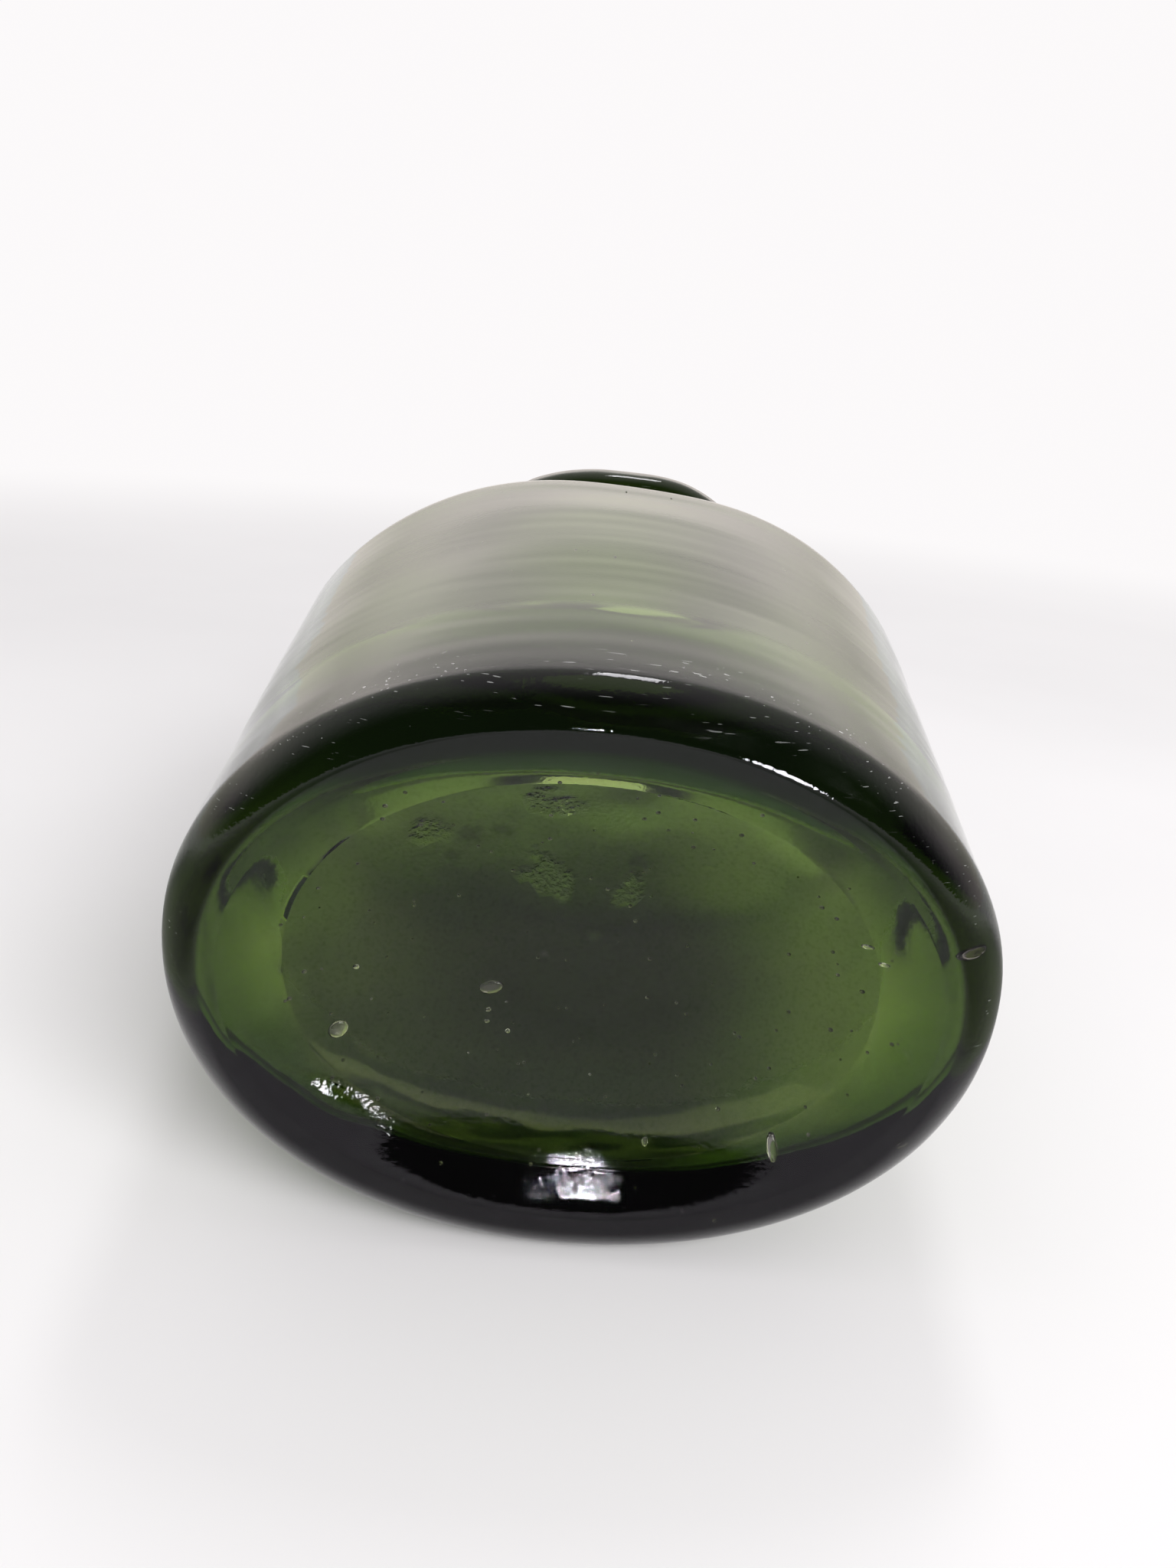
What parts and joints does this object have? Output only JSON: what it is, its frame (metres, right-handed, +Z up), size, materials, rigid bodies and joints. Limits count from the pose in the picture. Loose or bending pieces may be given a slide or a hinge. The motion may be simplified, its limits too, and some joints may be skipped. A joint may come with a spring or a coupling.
{
  "type": "blown glass bottle",
  "caption": "Mouth-blown bottle of oval section in dark green glass, with a pushed-up base, round shoulder, short leaning neck and a wide applied collar at the mouth.",
  "frame": {"origin": "middle of the bounding box at the level of the surface that the bottle lies on", "axes": "+Z up with the bottle lying on its broad side, +Y along the length from the base to the mouth, +X across the width; the bottle's own axis rises 3.6 degrees towards the mouth because the body is tapered"},
  "size_m": [0.1366, 0.2062, 0.104],
  "materials": {
    "bottle_glass": "fire-polished dark green glass with fine ripples, seeds and a few flat bubbles",
    "collar_glass": "fire-polished green glass, nearly black because it is thick"
  },
  "bodies": {
    "root": {"blown_body": "bottle_glass", "applied_collar": "collar_glass"}
  },
  "joints": []
}
